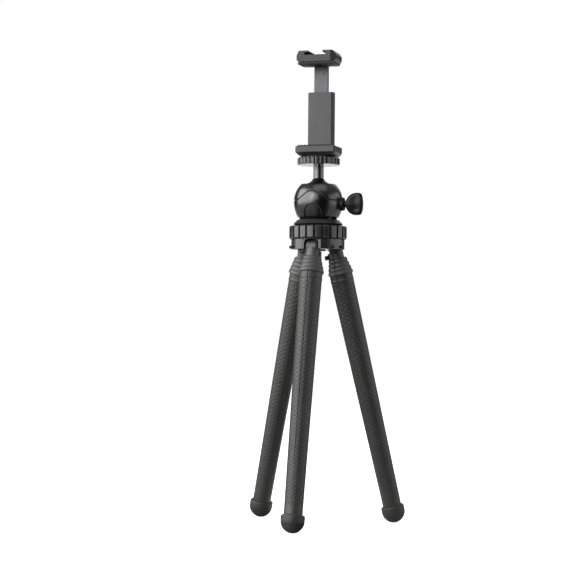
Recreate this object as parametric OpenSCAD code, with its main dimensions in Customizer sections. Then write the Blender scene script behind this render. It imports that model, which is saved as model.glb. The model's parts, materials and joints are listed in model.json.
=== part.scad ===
// Flexible leg tripod with a ball head and a sliding device clamp.
// Units are millimetres. Z is up, the floor is z = 0, and the centre axis is x = y = 0.
// The front is -Y: one leg and the open side of the clamp face it. The locking knob is at +X.

/* [Legs] */
// Hinge pin to the centre of the foot's dome, along the leg
leg_len = 228.6; // [180:0.1:300]
// Angle of each leg from the vertical, in degrees
leg_splay = 13.4; // [9:0.1:18]
// Angle that each leg can swing further out, in degrees
leg_swing = 55; // [40:1:55]
// Distance of each hinge pin from the centre axis
hinge_radius = 15; // [14:0.1:16]
// Diameter of the round neck that turns on the hinge pin
neck_d = 11.7; // [10:0.1:12.5]
// Corner radius on top of each neck
neck_round = 3.2; // [2:0.1:4]
// Hinge pin to the top of the ringed socket
socket_start = 9; // [8.5:0.1:11]
// Hinge pin to the lower end of the ringed socket
socket_end = 23; // [21:0.1:27]
// Diameter of the socket's lowest ring
socket_d = 21.4; // [20.6:0.1:23]
// Number of stepped rings on the socket
socket_rings = 4; // [2:1:5]
// How much the socket narrows from its lowest ring to its highest
socket_step = 2.5; // [1:0.1:3]
// Sleeve diameter under the socket
sleeve_d_top = 19.5; // [17:0.1:20.4]
// Sleeve diameter at the foot
sleeve_d_end = 15.8; // [14:0.1:18]
// Diameter of the bendable core
core_d = 6; // [4:0.1:8]
// Hinge pin to the first bend
bend_first = 70; // [60:1:80]
// Distance from one bend to the next
bend_pitch = 50; // [40:1:52]
// Length of sleeve that takes up each bend
flex_len = 8; // [7:0.1:10]
// Diameter of the foot cap
foot_d = 19.6; // [18:0.1:23]
// Height of the straight rim above the foot's dome
foot_rim = 4.9; // [3:0.1:8]
// Depth of the small flat that the foot stands on
foot_flat = 0.2; // [0.1:0.1:0.8]

/* [Hub] */
// Hub body diameter
hub_d = 45; // [43:0.1:46]
// Depth of the flat on the hub in front of each leg
hub_flat = 1.6; // [1:0.1:1.8]
// How far the hub skirt reaches below the hinge pins
hub_skirt = 1.9; // [1.7:0.1:3]
// Hinge pin diameter
pin_d = 2.6; // [2:0.1:3]
// Hinge pin length
pin_len = 36; // [34:0.1:40]
// Diameter of the spigot that carries the lock ring
spigot_d = 35; // [32:0.1:38]
// Lock ring diameter over the ribs
ring_d = 48.6; // [46:0.1:52]
// Lock ring height
ring_h = 11; // [8:0.1:14]
// Number of ribs on the lock ring
ring_ribs = 22; // [16:1:28]
// Width of the slots between the ribs
rib_slot_w = 2; // [1:0.1:2.5]
// Depth of the slots between the ribs
rib_slot_depth = 1.3; // [0.5:0.1:1.8]
// Diameter of both quarter inch studs
stud_d = 6.35; // [5:0.01:8]

/* [Ball head] */
// How far the base flange stands out beyond the housing
flange_lip = 0.4; // [0.2:0.1:2]
// Height of the undercut below the flange's edge
flange_tip = 1.3; // [0.8:0.1:1.8]
// Base flange height
flange_h = 4.8; // [4:0.1:8]
// Housing sphere diameter
housing_d = 41.2; // [40:0.1:44]
// Radius of the curve down the side of the lower shell
housing_belly = 29; // [24:0.5:40]
// Height of the cap that the housing's flat top cuts off the sphere
top_cut = 6.2; // [5.6:0.1:7.4]
// Height of the cap that the housing's flat base cuts off the sphere
base_cut = 7.1; // [6:0.1:8]
// Shadow gap between the base flange and the housing
base_gap = 2.2; // [1.2:0.1:2.6]
// Depth of that shadow gap
base_recess = 1.5; // [0.6:0.1:4]
// Thickness of the lower shell's floor
shell_floor = 4.8; // [4:0.1:6]
// Wall between the ball and the outside of the housing
shell_wall = 6.6; // [6:0.1:7.5]
// Ball centre above the housing's centre
ball_lift = 4.5; // [4:0.1:5.5]
// Stem diameter
stem_d = 8.7; // [8:0.1:10]
// Diameter of the flared collar where the stem leaves the ball
stem_collar_d = 13; // [11:0.1:13.4]
// Ball centre to the top of the stem
stem_len = 26.2; // [24:0.1:34]
// Rise of the wave in the seam between the two shells
seam_rise = 8; // [4:0.1:9]
// Half the width of that wave
seam_half_w = 16; // [12:0.1:18]
// Width of the seam's groove
seam_groove = 0.8; // [0.4:0.1:1]
// Depth of the seam's groove
seam_depth = 0.8; // [0.6:0.1:1.5]
// Depth of the arched panel in front
panel_recess = 0.9; // [0.4:0.1:1.2]
// Diameter of the brake shoe
shoe_d = 6.8; // [6:0.1:8]
// Outside of the housing to the bore of the brake shoe
shoe_inset = 3; // [2.5:0.1:3.5]
// Knob axis below the housing's centre
knob_drop = 2.4; // [1.5:0.1:3.5]
// Diameter of the knob's screw
knob_screw_d = 5; // [4:0.1:6]
// Diameter of the bush that holds the knob's screw
bush_d = 11; // [9:0.1:12]
// How far the bush stands out of the housing
bush_proud = 1.8; // [1:0.1:3]
// Bush to the wings of the knob
knob_neck = 2.6; // [2.2:0.1:4]
// How far the hub of the knob stands out toward the bush
knob_hub = 0.4; // [0.2:0.1:1.8]
// Distance of the head screws from the centre axis
screw_circle = 9.2; // [8.6:0.1:9.4]
// Height of the wing knob
knob_h = 18.8; // [16:0.1:22]
// Length of the wing knob
knob_len = 13.6; // [12:0.1:16]
// Thickness of the wing knob
knob_t = 8; // [7:0.1:10]

/* [Clamp] */
// Depth of the mount stud in the stem
stud_sink = 9; // [7:0.1:11]
// Length of the mount stud inside the lower jaw
stud_reach = 6.2; // [5:0.1:6.3]
// Lock wheel diameter
wheel_d = 35.8; // [32:0.1:38]
// Lock wheel height
wheel_h = 6.6; // [5:0.1:9]
// Number of scallops round the lock wheel
wheel_ribs = 30; // [20:1:36]
// Radius of those scallops
scallop_r = 1.3; // [1:0.1:1.5]
// Depth of those scallops
scallop_depth = 0.85; // [0.4:0.05:1.1]
// Width of both jaws
jaw_w = 34.5; // [30:0.1:40]
// Depth of both jaws
jaw_depth = 25; // [24.5:0.1:28]
// Height of the lower jaw
jaw_h = 7.6; // [7:0.1:10]
// Height of the upper jaw
upper_h = 10.4; // [9:0.1:13]
// Opening between the jaw pads
jaw_gap = 67; // [58:0.1:80]
// Thickness of the jaw pads
pad_t = 1.3; // [1:0.1:2]
// Pitch of the ribs on the jaw pads
pad_pitch = 2.5; // [2:0.1:4]
// Width of the back that carries the slide bar
back_w = 22; // [18:0.1:26]
// Height of the back above the lower jaw
back_h = 47; // [43:0.1:50]
// Width of the slide bar
bar_w = 12; // [8:0.1:14]
// Thickness of the slide bar
bar_t = 3; // [2.5:0.1:3.4]
// Length of slide bar below the upper jaw
bar_len = 60; // [56:0.1:62]
// Back of the jaws to the front of the slide bar
bar_inset = 7; // [6.5:0.1:8]
// Lower jaw to the axis of the thumb screw
thumb_rise = 33; // [28:0.1:36]
// Diameter of the thumb screw
thumb_d = 4; // [3:0.1:5]
// Diameter of the thumb screw's knob
thumb_knob_d = 14; // [12:0.1:17]
// Length of the thumb screw's knob
thumb_knob_t = 7; // [6:0.1:9]
// Width of the accessory shoe's slot
shoe_slot_w = 18.6; // [18.2:0.1:19]
// Width between the lips of the accessory shoe
shoe_mouth_w = 12.6; // [12.2:0.1:13]
// Height of the accessory shoe's slot
shoe_slot_h = 2.1; // [2:0.1:2.4]
// Thickness of the accessory shoe's lips
shoe_lip_t = 1.5; // [1.2:0.1:2]

/* [Clearances] */
// Radial gap of every turning or sliding fit
fit = 0.05; // [0.02:0.01:0.1]
// Gap between pieces that pass each other
gap = 0.3; // [0.2:0.05:0.5]

/* [Hidden] */
$fn = 96;

// Leg directions round the centre axis
leg_turn = [-90, 30, 150];

// Heights, from the floor up
hinge_z = leg_len * cos(leg_splay) + foot_d / 2 - foot_flat;
neck_gap = gap + 0.1;
arch_r = neck_d / 2 + neck_gap;
arch_round = neck_round + neck_gap;
hub_z = hinge_z - hub_skirt;
ring_z = hinge_z + arch_r + 2 * gap;
spigot_top = ring_z + ring_h;
flange_z = spigot_top + gap;
flange_top = flange_z + flange_h;
house_z = flange_top + base_gap + housing_d / 2 - base_cut;
house_top = house_z + housing_d / 2 - top_cut;
ball_z = house_z + ball_lift;
wheel_z = ball_z + stem_len;
wheel_pad_t = 0.6;
jaw_z = wheel_z + wheel_h + wheel_pad_t + gap;
jaw_top = jaw_z + jaw_h;
grip_low = jaw_top + pad_t;
grip_high = grip_low + jaw_gap;
upper_z = grip_high + pad_t;
upper_top = upper_z + upper_h;
back_top = jaw_top + back_h;

// Radii
core_r = core_d / 2;
neck_r = neck_d / 2;
stud_r = stud_d / 2;
housing_r = housing_d / 2;
ball_r = housing_r - shell_wall;
cavity_r = ball_r + 2 * fit;
notch_r = stem_collar_d / 2 + gap + 0.1;
base_r = housing_r - housing_belly + sqrt(housing_belly * housing_belly - pow(housing_r - base_cut, 2));

// Leg distances, measured down the leg from its hinge pin
sleeve_end = leg_len - foot_rim;
ring_step = (socket_end - socket_start) / socket_rings;
cap_h = 1.2;
flare_start = hub_skirt + cap_h + 2 * gap;
plug_start = socket_start + 2.2 * ring_step;
plug_r = sleeve_d_top / 2 - 1.4;
foot_plug_r = sleeve_d_end / 2 - 0.6;
bend_at = [bend_first, bend_first + bend_pitch, bend_first + 2 * bend_pitch];

// Levels inside the ball head
shell_z = flange_top + base_gap;
floor_top = shell_z + shell_floor;
seam_z = house_z + 0.4;
knob_z = house_z - knob_drop;
cup_top = ball_z - notch_r - gap;
shoe_out = housing_r - shoe_inset;
bush_out = housing_r + bush_proud;
knob_in = bush_out + knob_neck;

// Places in the clamp, front to back
jaw_back = jaw_depth / 2;
bar_y = jaw_back - bar_inset;
back_front = bar_y - 2;
thumb_z = jaw_top + thumb_rise;
bar_low = upper_z - bar_len;
upper_front = -jaw_back - 1.5;
nut_w = 7;
nut_t = 2.2;
nut_y = bar_y + bar_t + 0.9;

// Name of every sub-part

// The sub-part to draw, or all of them

// Sleeve radius at a distance down the leg
function sleeve_r(s) =
    (sleeve_d_top + (sleeve_d_end - sleeve_d_top) * (s - socket_end) / (sleeve_end - socket_end)) / 2;

// Height of the seam at a distance from the middle of the head
function seam_at(x) =
    abs(x) < seam_half_w ? seam_z + seam_rise * (1 + cos(180 * x / seam_half_w)) / 2 : seam_z;

// Colours by material
module plastic() { color([0.09, 0.09, 0.10]) children(); }
module rubber() { color([0.06, 0.06, 0.06]) children(); }
module dark_metal() { color([0.22, 0.22, 0.24]) children(); }
module bright_metal() { color([0.75, 0.76, 0.78]) children(); }
module brass() { color([0.78, 0.62, 0.30]) children(); }
module pale_plastic() { color([0.85, 0.84, 0.80]) children(); }

// Puts a leg's own frame in place: the pin at its origin, the leg along -Z, outward along +X
module on_leg(i) {
    rotate([0, 0, leg_turn[i]])
        translate([hinge_radius, 0, hinge_z])
            rotate([0, -leg_splay, 0])
                children();
}

// A turned piece from points given as [radius, distance down the leg]
module turned_down(points) {
    rotate_extrude() polygon([for (p = points) [p[0], -p[1]]]);
}

// Top of a leg's neck: a thick disc on the hinge pin, with rounded edges
module neck_top() {
    flat = neck_r - neck_round;
    edge = [for (k = [0 : 6]) [flat + neck_round * sin(15 * k), flat + neck_round * cos(15 * k)]];
    rotate([90, 0, 0])
        rotate_extrude()
            polygon(concat(
                [[0, neck_r]],
                edge,
                [for (k = [6 : -1 : 0]) [edge[k][0], -edge[k][1]]],
                [[0, -neck_r]]
            ));
}

// Outline of the recess for a neck in the hub, with its middle on the hinge pin
module arch_outline() {
    flat = arch_r - arch_round;
    edge = [for (k = [0 : 6]) [flat + arch_round * sin(15 * k), flat + arch_round * cos(15 * k)]];
    polygon(concat(
        edge,
        [[arch_r, -hub_skirt - 1], [-arch_r, -hub_skirt - 1]],
        [for (k = [6 : -1 : 0]) [-edge[k][0], edge[k][1]]]
    ));
}

// Leg socket: a neck on the hinge pin, over a cup of stepped rings for the sleeve.
// The neck widens under the hub, cut so that it clears the hub when the leg is swung right out.
module leg_socket(i) {
    top_r = socket_d / 2 - socket_step;
    grow = socket_step / (socket_rings - 1);
    edge = 0.25;
    on_leg(i)
        difference() {
            union() {
                neck_top();
                translate([0, 0, -socket_start - 0.5]) cylinder(r = neck_r, h = socket_start + 0.5);
                turned_down(concat(
                    [[0, socket_start]],
                    [for (k = [0 : socket_rings - 1])
                        let (r = top_r + k * grow, s = socket_start + k * ring_step)
                        each [
                            [r - 4.4 * edge, s], [r - 1.6 * edge, s + 3 * edge],
                            [r, s + ring_step - 3 * edge], [r - edge, s + ring_step - edge]
                        ]],
                    [[socket_d / 2 - 2.4 * edge, socket_end], [0, socket_end]]
                ));
                intersection() {
                    turned_down([
                        [0, flare_start], [neck_r, flare_start], [top_r - 3 * edge, flare_start + 2 * edge],
                        [top_r - 2 * edge, socket_start + edge], [0, socket_start + edge]
                    ]);
                    rotate([0, leg_splay + leg_swing, 0])
                        translate([-leg_len, -leg_len, -2 * leg_len - hub_skirt - gap])
                            cube(2 * leg_len);
                }
                translate([0, 0, -socket_start + 2])
                    rotate([0, -90, 0]) cylinder(d = 3.7, h = neck_r + 4.6);
            }
            rotate([90, 0, 0]) cylinder(r = pin_d / 2 + fit, h = 2 * neck_r + 2, center = true);
            translate([0, 0, -socket_end - 1]) cylinder(r = core_r, h = socket_end - socket_start);
            translate([0, 0, -socket_end - 1]) cylinder(r = plug_r, h = socket_end + 1 - plug_start);
        }
}

// Bendable core of one leg, from inside the socket to inside the foot
module leg_core(i) {
    on_leg(i)
        translate([0, 0, -leg_len + 1])
            cylinder(r = core_r, h = leg_len - 1 - socket_start - 1.5);
}

// Topmost length of sleeve: a plug inside the socket, then the sleeve with its moulded lip
module leg_sleeve_top(i) {
    last = bend_at[0] - flex_len / 2 - fit;
    lip = socket_end + 4.5;
    on_leg(i)
        turned_down([
            [core_r + 2 * fit, plug_start], [plug_r, plug_start], [plug_r, socket_end],
            [sleeve_r(socket_end), socket_end], [sleeve_r(lip), lip],
            [sleeve_r(lip) + 0.3, lip + 0.4], [sleeve_r(lip) + 0.3, lip + 0.9],
            [sleeve_r(lip + 1.3), lip + 1.3],
            [sleeve_r(last), last], [core_r + 2 * fit, last]
        ]);
}

// A length of sleeve between two bends
module leg_sleeve_mid(i, n) {
    first = bend_at[n - 1] + flex_len / 2 + fit;
    last = bend_at[n] - flex_len / 2 - fit;
    on_leg(i)
        turned_down([
            [core_r + 2 * fit, first], [sleeve_r(first), first],
            [sleeve_r(last), last], [core_r + 2 * fit, last]
        ]);
}

// Lowest length of sleeve, with the plug that holds the foot
module leg_sleeve_low(i) {
    first = bend_at[2] + flex_len / 2 + fit;
    on_leg(i)
        turned_down([
            [core_r + 2 * fit, first], [sleeve_r(first), first],
            [sleeve_r(sleeve_end), sleeve_end], [foot_plug_r, sleeve_end],
            [foot_plug_r, leg_len + 3], [0, leg_len + 3],
            [0, leg_len - 1 + fit], [core_r + 2 * fit, leg_len - 1 + fit]
        ]);
}

// Length of sleeve that stretches and folds at one bend
module leg_flex(i, n) {
    first = bend_at[n] - flex_len / 2;
    last = bend_at[n] + flex_len / 2;
    on_leg(i)
        turned_down([
            [core_r + 2 * fit, first], [sleeve_r(first), first],
            [sleeve_r(last), last], [core_r + 2 * fit, last]
        ]);
}

// Foot cap: a straight rim over a dome, cut flat where it stands on the floor
module leg_foot(i) {
    difference() {
        on_leg(i)
            translate([0, 0, -leg_len])
                difference() {
                    union() {
                        intersection() {
                            sphere(d = foot_d);
                            translate([0, 0, -foot_d]) cylinder(d = 2 * foot_d, h = foot_d);
                        }
                        cylinder(d = foot_d, h = foot_rim - 0.8);
                        translate([0, 0, foot_rim - 0.8])
                            cylinder(d1 = foot_d, d2 = foot_d - 1.6, h = 0.8);
                    }
                    translate([0, 0, -3]) cylinder(r = foot_plug_r, h = foot_rim + 4);
                }
        translate([0, 0, -foot_d]) cylinder(r = leg_len, h = foot_d);
    }
}

// Hub: a drum with three arched recesses for the leg necks, under the ring's spigot
module hub_body() {
    plastic()
        difference() {
            union() {
                translate([0, 0, hub_z]) cylinder(d = hub_d, h = ring_z - gap - hub_z);
                translate([0, 0, hub_z]) cylinder(d = spigot_d, h = spigot_top - hub_z);
            }
            for (a = leg_turn) {
                rotate([0, 0, a]) {
                    translate([hinge_radius - arch_r, 0, hinge_z])
                        rotate([90, 0, 90]) linear_extrude(height = hub_d) arch_outline();
                    translate([hinge_radius, 0, hinge_z])
                        rotate([90, 0, 0]) cylinder(d = pin_d, h = hub_d + 2, center = true);
                    translate([hub_d / 2 - hub_flat, -hub_d / 2, hub_z - 1])
                        cube([hub_d, hub_d, ring_z - hub_z]);
                }
            }
            translate([0, 0, hub_z - 1]) cylinder(r = stud_r, h = spigot_top - hub_z + 2);
            translate([0, 0, hub_z - 1]) cylinder(r = stud_r + 2.6, h = 5.5);
        }
}

// Stud that joins the head to the hub, with its head sunk in the hub's underside
module hub_stud() {
    dark_metal() {
        translate([0, 0, hub_z + 1]) cylinder(r = stud_r, h = shell_z + 2 - hub_z - 1);
        translate([0, 0, hub_z + 1]) cylinder(r = stud_r + 2.4, h = 3.5);
    }
}

// Cap under the hub that hides the stud's head
module hub_cap() {
    plastic() {
        translate([0, 0, hub_z - cap_h]) cylinder(r1 = stud_r + 3, r2 = stud_r + 3.6, h = cap_h);
        translate([0, 0, hub_z - 0.2]) cylinder(r = stud_r + 2.5, h = 1.1);
    }
}

// The three hinge pins
module hinge_pins() {
    dark_metal()
        for (a = leg_turn)
            rotate([0, 0, a])
                translate([hinge_radius, 0, hinge_z])
                    rotate([90, 0, 0]) cylinder(d = pin_d, h = pin_len, center = true);
}

// Ribbed ring that turns on the hub's spigot and tightens against the head
module lock_ring() {
    plastic()
        difference() {
            rotate_extrude()
                polygon([
                    [spigot_d / 2 + fit, ring_z], [ring_d / 2 - 1, ring_z],
                    [ring_d / 2, ring_z + 1], [ring_d / 2, spigot_top - 0.9],
                    [ring_d / 2 - 0.9, spigot_top], [spigot_d / 2 + fit, spigot_top]
                ]);
            for (k = [0 : ring_ribs - 1])
                rotate([0, 0, 360 * k / ring_ribs])
                    translate([ring_d / 2 - rib_slot_depth, -rib_slot_w / 2, ring_z - 1])
                        cube([rib_slot_depth + 1, rib_slot_w, ring_h + 2]);
        }
}

// Base flange of the head, which turns on the hub's stud
module head_flange() {
    edge_r = housing_r + flange_lip;
    neck = base_r - base_recess;
    tab_r = base_r - gap;
    plastic()
        difference() {
            union() {
                rotate_extrude()
                    polygon([
                        [stud_r + fit, flange_z], [edge_r - 2 * flange_tip, flange_z],
                        [edge_r, flange_z + flange_tip], [edge_r - 0.5, flange_z + flange_tip + 0.5],
                        [base_r + 0.4, flange_top], [neck, flange_top], [neck, shell_z],
                        [stud_r + fit, shell_z]
                    ]);
                rotate([0, 0, -39])
                    translate([tab_r - 1, -1.1, flange_top - 1.5]) cube([2, 2.2, shell_z - flange_top + 1.2]);
            }
            head_screw_places() {
                translate([0, 0, flange_z - 1]) cylinder(d = 4.6, h = 3);
                translate([0, 0, flange_z]) cylinder(d = 2.5, h = shell_z - flange_z + 1);
            }
        }
}

// The three screw places under the head
module head_screw_places() {
    for (a = [90, 210, 330])
        rotate([0, 0, a]) translate([screw_circle, 0, 0]) children();
}

// Screws that hold the base flange to the lower shell
module head_screws() {
    dark_metal()
        head_screw_places() {
            translate([0, 0, flange_z + 0.2]) cylinder(d = 4.4, h = 1.8);
            translate([0, 0, flange_z + 1]) cylinder(d = 2.5, h = floor_top - 1 - flange_z - 1);
        }
}

// Everything under the wavy seam
module below_seam(shift) {
    wide = 2 * housing_r;
    steps = 32;
    translate([0, wide, 0])
        rotate([90, 0, 0])
            linear_extrude(height = 2 * wide)
                polygon(concat(
                    [[-wide, seam_z + shift]],
                    [for (k = [0 : steps])
                        let (x = seam_half_w * (2 * k / steps - 1)) [x, seam_at(x) + shift]],
                    [[wide, seam_z + shift], [wide, shell_z - wide], [-wide, shell_z - wide]]
                ));
}

// Groove that marks the seam on the outside of the housing
module housing_form(inset) {
    translate([0, 0, house_z]) {
        intersection() {
            sphere(r = housing_r - inset);
            translate([-housing_d, -housing_d, 0]) cube(2 * housing_d);
        }
        rotate_extrude()
            intersection() {
                translate([housing_r - housing_belly, 0]) circle(r = housing_belly - inset);
                translate([0, -housing_r]) square([housing_d, housing_r]);
            }
    }
}
module seam_cut() {
    difference() {
        below_seam(seam_groove / 2);
        below_seam(-seam_groove / 2);
        housing_form(seam_depth);
    }
}

// Drop notch for the stem, opposite the knob
module stem_notch() {
    translate([0, 0, ball_z]) {
        rotate([0, -90, 0]) cylinder(r = notch_r, h = 2 * housing_r);
        translate([-2 * housing_r, -notch_r, 0]) cube([2 * housing_r, 2 * notch_r, 2 * housing_r]);
    }
}

// The outside of the ball housing
module housing_ball() {
    intersection() {
        housing_form(0);
        translate([0, 0, shell_z]) cylinder(r = 2 * housing_r, h = house_top - shell_z);
    }
}

// Lower half of the ball housing, with its arched front panel
module lower_shell() {
    panel_r = housing_r * 0.36;
    plastic()
        difference() {
            intersection() {
                housing_ball();
                below_seam(0);
            }
            seam_cut();
            stem_notch();
            translate([0, 0, floor_top]) cylinder(r = cavity_r, h = housing_d);
            translate([0, 0, shell_z - 1]) cylinder(r = stud_r + 2.5, h = housing_d);
            head_screw_places() translate([0, 0, shell_z - 1]) cylinder(d = 2.5, h = floor_top - shell_z);
            translate([0, 0, knob_z]) rotate([0, 90, 0]) cylinder(d = shoe_d + 2 * fit, h = shoe_out + 0.2);
            translate([0, 0, knob_z]) rotate([0, 90, 0]) cylinder(d = knob_screw_d + 1, h = housing_d);
            translate([shoe_out + 1, 0, knob_z]) rotate([0, 90, 0]) cylinder(d = bush_d, h = housing_d);
            difference() {
                translate([0, 0, house_z - panel_r - 3])
                    rotate([90, 0, 0]) {
                        cylinder(r = panel_r, h = housing_d);
                        translate([-panel_r, -housing_d, 0]) cube([2 * panel_r, housing_d, housing_d]);
                    }
                housing_form(panel_recess);
            }
        }
}

// Upper half of the ball housing, which keeps the ball in
module upper_shell() {
    plastic()
        difference() {
            housing_ball();
            below_seam(0);
            seam_cut();
            stem_notch();
            translate([0, 0, ball_z]) sphere(r = cavity_r);
            translate([0, 0, shell_z]) cylinder(r = cavity_r, h = ball_z - shell_z);
            translate([0, 0, house_top - 1])
                cylinder(r1 = ball_r * 0.78, r2 = ball_r * 0.83, h = 1.2);
            translate([0, 0, knob_z]) rotate([0, 90, 0]) cylinder(d = bush_d + 2 * gap, h = housing_d);
        }
}

// Seat under the ball, with a side hole for the brake shoe
module ball_cup() {
    pale_plastic()
        difference() {
            translate([0, 0, floor_top]) cylinder(r = cavity_r, h = cup_top - floor_top);
            translate([0, 0, ball_z]) sphere(r = ball_r + fit);
            translate([0, 0, floor_top - 1]) cylinder(r = stud_r + 1, h = housing_d);
            translate([0, 0, knob_z]) rotate([0, 90, 0]) cylinder(d = shoe_d + 2 * gap, h = housing_d);
        }
}

// Threaded bush for the knob's screw
module knob_bush() {
    dark_metal()
        translate([shoe_out + 1, 0, knob_z])
            rotate([0, 90, 0])
                difference() {
                    cylinder(d = bush_d, h = bush_out - shoe_out - 1);
                    translate([0, 0, -1]) cylinder(d = knob_screw_d + 2 * fit, h = bush_out);
                }
}

// Brake shoe that the knob presses against the ball
module brake_shoe() {
    pale_plastic()
        difference() {
            translate([ball_r * 0.6, 0, knob_z])
                rotate([0, 90, 0]) cylinder(d = shoe_d, h = shoe_out - 1 - ball_r * 0.6);
            translate([0, 0, ball_z]) sphere(r = ball_r + fit);
        }
}

// Screw of the locking knob
module knob_screw() {
    bright_metal()
        translate([shoe_out - 1, 0, knob_z])
            rotate([0, 90, 0]) cylinder(d = knob_screw_d, h = knob_in + knob_len / 2 - shoe_out + 1);
}

// Wing knob: scooped sides, a convex end and a round neck
module lock_knob() {
    half = knob_h / 2;
    belly = knob_len * 0.75;
    neck = knob_h * 0.22;
    plastic()
        translate([knob_in, 0, knob_z])
            difference() {
                union() {
                    translate([-knob_hub, 0, 0])
                        rotate([0, 90, 0]) cylinder(r = neck, h = knob_len / 2 + knob_hub);
                    intersection() {
                        translate([0, knob_t / 2, 0])
                            rotate([90, 0, 0])
                                linear_extrude(height = knob_t)
                                    intersection() {
                                        translate([0, -half]) square([knob_len, knob_h]);
                                        translate([knob_len - 1.7 * knob_h, 0]) circle(r = 1.7 * knob_h);
                                        circle(r = norm([knob_len - 0.7, half - 0.7]));
                                        translate([belly, 0]) circle(r = belly + 0.3);
                                    }
                        translate([0, 0, -half])
                            linear_extrude(height = knob_h)
                                polygon([
                                    [0, -knob_t / 2], [knob_len - 1.2, -knob_t * 0.36],
                                    [knob_len, -knob_t * 0.26], [knob_len, knob_t * 0.26],
                                    [knob_len - 1.2, knob_t * 0.36], [0, knob_t / 2]
                                ]);
                    }
                }
                translate([-3, 0, 0])
                    rotate([0, 90, 0]) cylinder(d = knob_screw_d, h = knob_len / 2 + 3);
            }
}

// Ball and stem in one piece
module ball_stem() {
    collar_z = ball_z + sqrt(ball_r * ball_r - stem_collar_d * stem_collar_d / 4);
    dark_metal()
        difference() {
            union() {
                translate([0, 0, ball_z]) sphere(r = ball_r);
                translate([0, 0, collar_z - 1]) cylinder(d = stem_collar_d, h = 1);
                translate([0, 0, collar_z]) cylinder(d1 = stem_collar_d, d2 = stem_d, h = 2.6);
                translate([0, 0, ball_z]) cylinder(d = stem_d, h = stem_len - gap);
            }
            translate([0, 0, wheel_z - stud_sink]) cylinder(r = stud_r, h = stud_sink + 3);
        }
}

// Quarter inch stud on top of the stem
module mount_stud() {
    bright_metal()
        translate([0, 0, wheel_z - stud_sink])
            cylinder(r = stud_r, h = jaw_z + stud_reach - wheel_z + stud_sink);
}

// Scalloped wheel that locks the clamp on the stud
module lock_wheel() {
    edge = wheel_d / 2;
    plastic()
        difference() {
            rotate_extrude()
                polygon([
                    [stud_r + fit, wheel_z], [edge - 0.5, wheel_z], [edge, wheel_z + 0.5],
                    [edge, wheel_z + wheel_h - 1.4], [edge - 1.4, wheel_z + wheel_h],
                    [stud_r + fit, wheel_z + wheel_h]
                ]);
            for (k = [0 : wheel_ribs - 1])
                rotate([0, 0, 360 * k / wheel_ribs])
                    translate([edge + scallop_r - scallop_depth, 0, wheel_z - 1])
                        cylinder(r = scallop_r, h = wheel_h + 2, $fn = 24);
        }
}

// Soft washer on top of the lock wheel
module wheel_pad() {
    rubber()
        translate([0, 0, wheel_z + wheel_h])
            difference() {
                cylinder(r = wheel_d * 0.36, h = wheel_pad_t);
                translate([0, 0, -1]) cylinder(r = stud_r + gap, h = wheel_pad_t + 2);
            }
}

// Plan of a jaw with its four corners cut off
module jaw_plan(front, cut) {
    half = jaw_w / 2;
    polygon([
        [-half + cut, front], [half - cut, front], [half, front + cut],
        [half, jaw_back - cut], [half - cut, jaw_back], [-half + cut, jaw_back],
        [-half, jaw_back - cut], [-half, front + cut]
    ]);
}

// Lower jaw, with the back that carries the slide bar
module lower_jaw() {
    cut = 1.2;
    slope = 2.9;
    plastic()
        difference() {
            union() {
                intersection() {
                    translate([0, 0, jaw_z]) linear_extrude(height = jaw_h) jaw_plan(-jaw_back, cut);
                    translate([0, jaw_back + 1, 0])
                        rotate([90, 0, 0])
                            linear_extrude(height = jaw_depth + 2)
                                polygon([
                                    [-jaw_w / 2 + slope, jaw_z], [jaw_w / 2 - slope, jaw_z],
                                    [jaw_w / 2, jaw_z + slope], [jaw_w / 2, jaw_top],
                                    [-jaw_w / 2, jaw_top], [-jaw_w / 2, jaw_z + slope]
                                ]);
                    translate([-jaw_w, 0, 0])
                        rotate([90, 0, 90])
                            linear_extrude(height = 2 * jaw_w)
                                polygon([
                                    [-jaw_back + slope, jaw_z], [jaw_back - cut, jaw_z],
                                    [jaw_back, jaw_z + cut], [jaw_back, jaw_top],
                                    [-jaw_back, jaw_top], [-jaw_back, jaw_z + slope]
                                ]);
                }
                translate([0, 0, jaw_top - 1])
                    linear_extrude(height = back_h + 1)
                        polygon([
                            [-back_w / 2 + 1.5, back_front], [back_w / 2 - 1.5, back_front],
                            [back_w / 2, back_front + 1.5], [back_w / 2, jaw_back - 2],
                            [back_w / 2 - 2, jaw_back], [-back_w / 2 + 2, jaw_back],
                            [-back_w / 2, jaw_back - 2], [-back_w / 2, back_front + 1.5]
                        ]);
            }
            translate([-bar_w / 2 - fit, bar_y - fit, jaw_z + 3])
                cube([bar_w + 2 * fit, bar_t + 2 * fit, back_h + jaw_h]);
            translate([0, bar_y + bar_t / 2, thumb_z])
                rotate([-90, 0, 0]) cylinder(d = thumb_d + 2 * gap, h = jaw_depth);
            translate([-nut_w / 2, nut_y, thumb_z - nut_w / 2]) cube([nut_w, nut_t, back_top]);
            translate([0, 0, jaw_z - 1]) cylinder(r = stud_r + 1.8, h = jaw_h - 0.2);
        }
}

// Ribs of a jaw pad, front to back
module pad_ribs(z) {
    count = floor((jaw_w - 4) / pad_pitch);
    for (k = [0 : count - 1])
        translate([(k - (count - 1) / 2) * pad_pitch - pad_pitch * 0.3, -jaw_back + 0.3, z])
            cube([pad_pitch * 0.6, jaw_back + back_front - 0.9, pad_t * 0.6]);
}

// Ribbed pad on the lower jaw
module lower_pad() {
    rubber()
        union() {
            translate([-jaw_w / 2 + 1.4, -jaw_back + 0.6, jaw_top])
                cube([jaw_w - 2.8, jaw_back + back_front - 1.2, pad_t * 0.5]);
            pad_ribs(jaw_top + pad_t * 0.4);
        }
}

// Ribbed pad under the upper jaw
module upper_pad() {
    rubber()
        union() {
            translate([-jaw_w / 2 + 1.4, -jaw_back + 0.6, grip_high + pad_t * 0.5])
                cube([jaw_w - 2.8, jaw_back + back_front - 1.2, pad_t * 0.5]);
            pad_ribs(grip_high);
        }
}

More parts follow.
